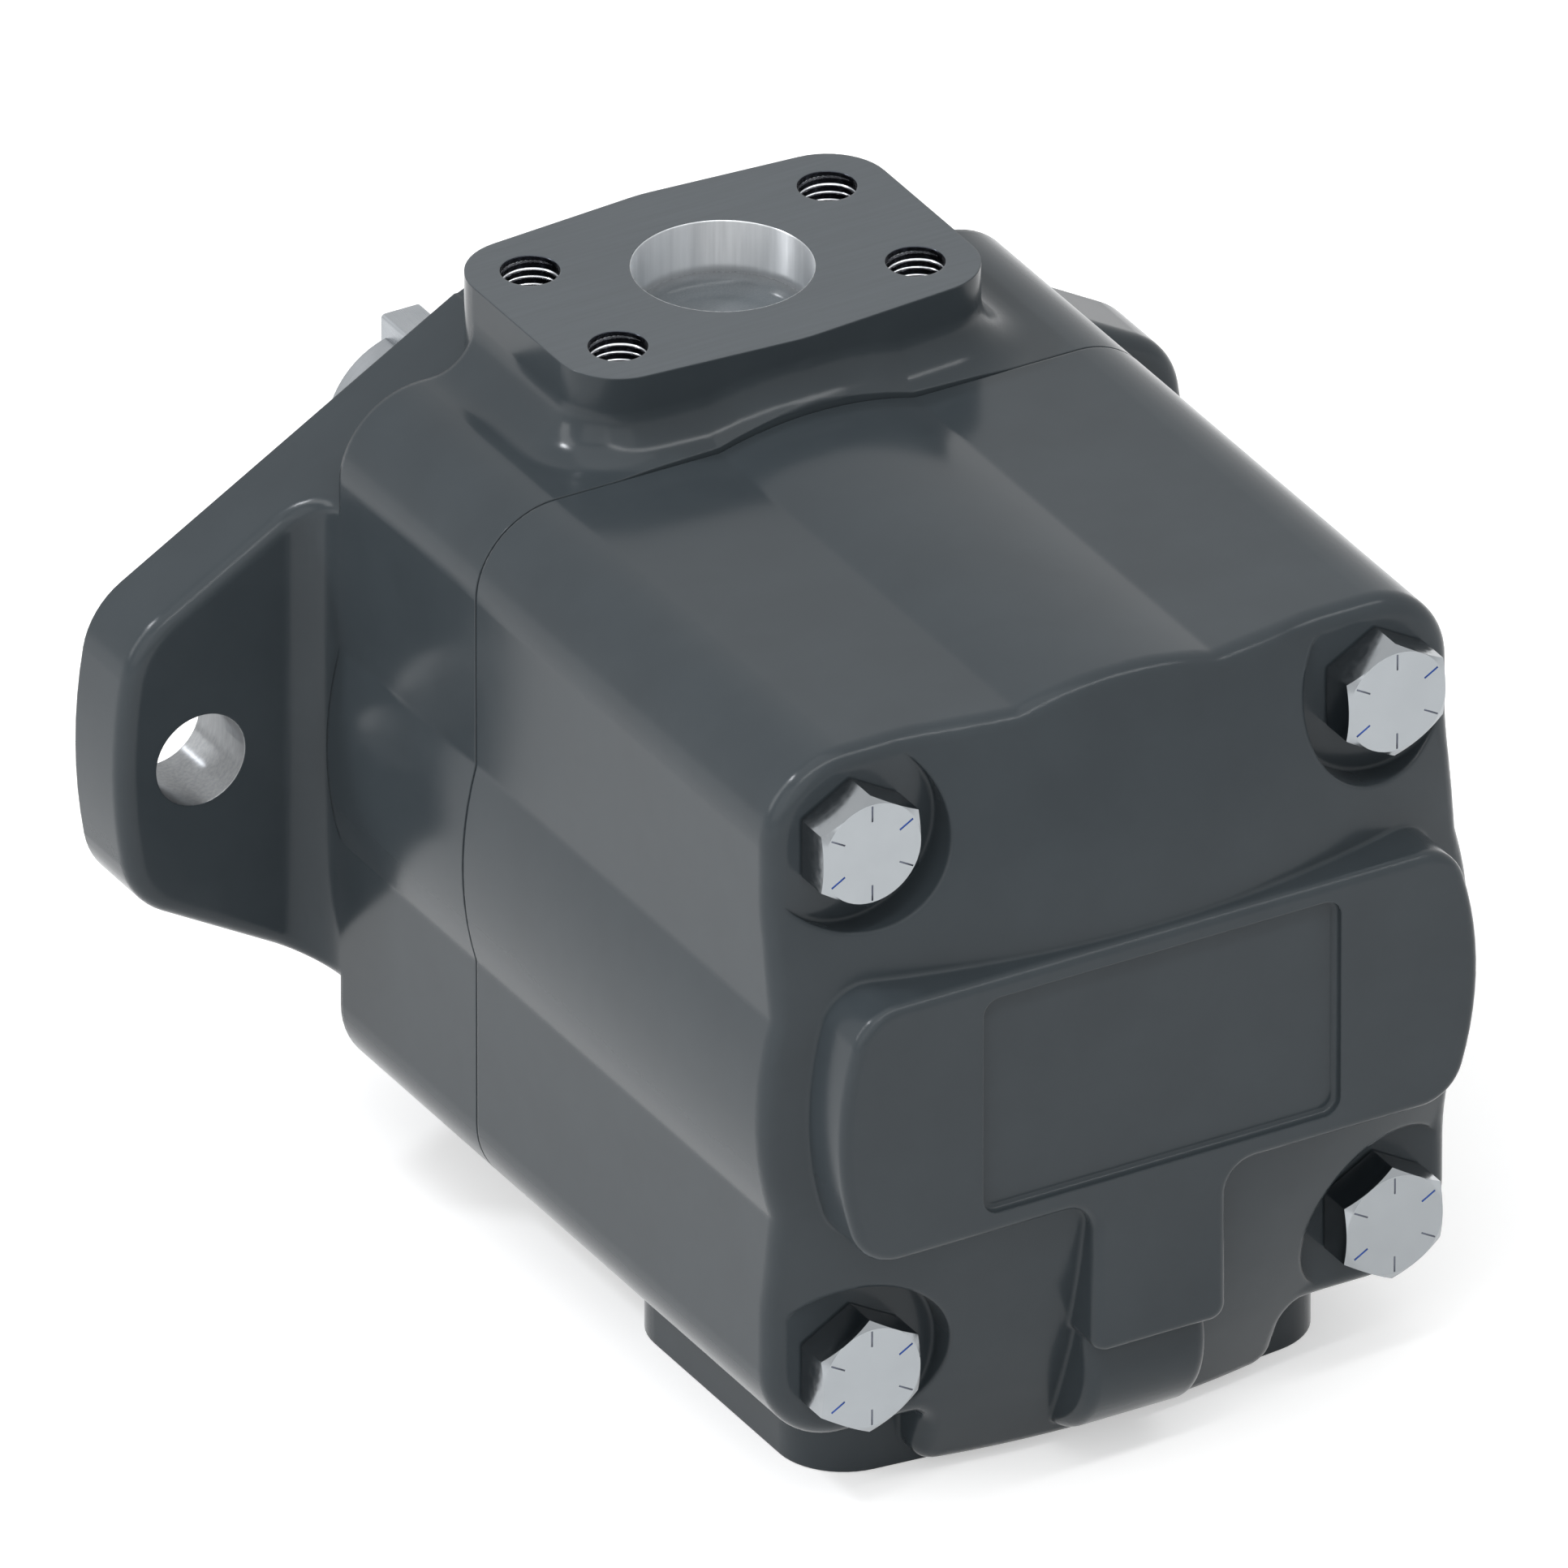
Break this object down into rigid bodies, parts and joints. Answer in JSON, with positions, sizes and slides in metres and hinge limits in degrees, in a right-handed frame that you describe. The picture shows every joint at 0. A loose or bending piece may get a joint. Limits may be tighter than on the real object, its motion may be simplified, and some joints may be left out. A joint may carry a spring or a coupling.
{
  "type": "vane pump",
  "caption": "Hydraulic vane pump with an eared mounting flange, flanged ports on top and below, a keyed drive shaft and a bolted rear cover.",
  "frame": {"origin": "on the shaft axis, in the plane of the mounting flange face that meets the bracket", "axes": "+Y along the shaft axis towards the shaft's free end, +Z towards the outlet port, +X to the right seen from the rear cover; the rear cover faces -Y and the inlet port -Z"},
  "size_m": [0.2124, 0.2611, 0.165],
  "materials": {
    "paint": "semi-gloss dark grey paint on cast iron",
    "zinc_steel": "bright zinc plate, satin",
    "machined_steel": "ground",
    "bearing_steel": "polished",
    "dark_steel": "black oxide",
    "ground_iron": "machined",
    "bronze": "machined bronze",
    "rubber": "matt black",
    "backup_plastic": "matt"
  },
  "bodies": {
    "housing": {"front_body": "paint", "inlet_cover": "paint", "cover_bolts": "zinc_steel", "cam_ring": "machined_steel", "bearing_outer_ring": "bearing_steel", "body_retaining_ring": "dark_steel", "dowel_pins": "dark_steel", "cartridge_screws": "dark_steel", "seal_spring": "dark_steel", "seal_case": "dark_steel", "outlet_plate": "ground_iron", "inlet_plate": "ground_iron", "front_side_plate": "bronze", "rear_side_plate": "bronze", "rear_bushing": "bronze", "joint_oring": "rubber", "outlet_plate_oring": "rubber", "seal_lip": "rubber", "outlet_plate_backup_ring": "backup_plastic"},
    "rotor_set": {"drive_shaft": "machined_steel", "shaft_key": "machined_steel", "bearing_inner_ring": "bearing_steel", "shaft_retaining_ring": "dark_steel", "rotor": "machined_steel", "vane_inserts": "machined_steel"},
    "ball_set": {"bearing_balls": "bearing_steel", "bearing_cage": "bronze"},
    "vane_1_body": {"vane_1": "machined_steel"},
    "vane_2_body": {"vane_2": "machined_steel"},
    "vane_3_body": {"vane_3": "machined_steel"},
    "vane_4_body": {"vane_4": "machined_steel"},
    "vane_5_body": {"vane_5": "machined_steel"},
    "vane_6_body": {"vane_6": "machined_steel"},
    "vane_7_body": {"vane_7": "machined_steel"},
    "vane_8_body": {"vane_8": "machined_steel"},
    "vane_9_body": {"vane_9": "machined_steel"},
    "vane_10_body": {"vane_10": "machined_steel"}
  },
  "joints": [
    {"name": "shaft_spin", "type": "hinge", "parent": "housing", "child": "rotor_set", "pos_m": [0, 0, 0], "axis": [0, 1, 0], "continuous": true},
    {"name": "ball_train", "type": "hinge", "parent": "housing", "child": "ball_set", "pos_m": [0, 0, 0], "axis": [0, 1, 0], "continuous": true},
    {"name": "vane_1_slide", "type": "slide", "parent": "rotor_set", "child": "vane_1_body", "axis": [0, 0, 1], "range_m": [-0.0014, 0]},
    {"name": "vane_2_slide", "type": "slide", "parent": "rotor_set", "child": "vane_2_body", "axis": [0.5878, 0, 0.809], "range_m": [-0.0014, 0]},
    {"name": "vane_3_slide", "type": "slide", "parent": "rotor_set", "child": "vane_3_body", "axis": [0.9511, 0, 0.309], "range_m": [-0.0014, 0]},
    {"name": "vane_4_slide", "type": "slide", "parent": "rotor_set", "child": "vane_4_body", "axis": [0.9511, 0, -0.309], "range_m": [-0.0014, 0]},
    {"name": "vane_5_slide", "type": "slide", "parent": "rotor_set", "child": "vane_5_body", "axis": [0.5878, 0, -0.809], "range_m": [-0.0014, 0]},
    {"name": "vane_6_slide", "type": "slide", "parent": "rotor_set", "child": "vane_6_body", "axis": [0, 0, -1], "range_m": [-0.0014, 0]},
    {"name": "vane_7_slide", "type": "slide", "parent": "rotor_set", "child": "vane_7_body", "axis": [-0.5878, 0, -0.809], "range_m": [-0.0014, 0]},
    {"name": "vane_8_slide", "type": "slide", "parent": "rotor_set", "child": "vane_8_body", "axis": [-0.9511, 0, -0.309], "range_m": [-0.0014, 0]},
    {"name": "vane_9_slide", "type": "slide", "parent": "rotor_set", "child": "vane_9_body", "axis": [-0.9511, 0, 0.309], "range_m": [-0.0014, 0]},
    {"name": "vane_10_slide", "type": "slide", "parent": "rotor_set", "child": "vane_10_body", "axis": [-0.5878, 0, 0.809], "range_m": [-0.0014, 0]}
  ],
  "couplings": [
    {"joint": "ball_train", "follows": "shaft_spin", "ratio": 0.39615}
  ]
}
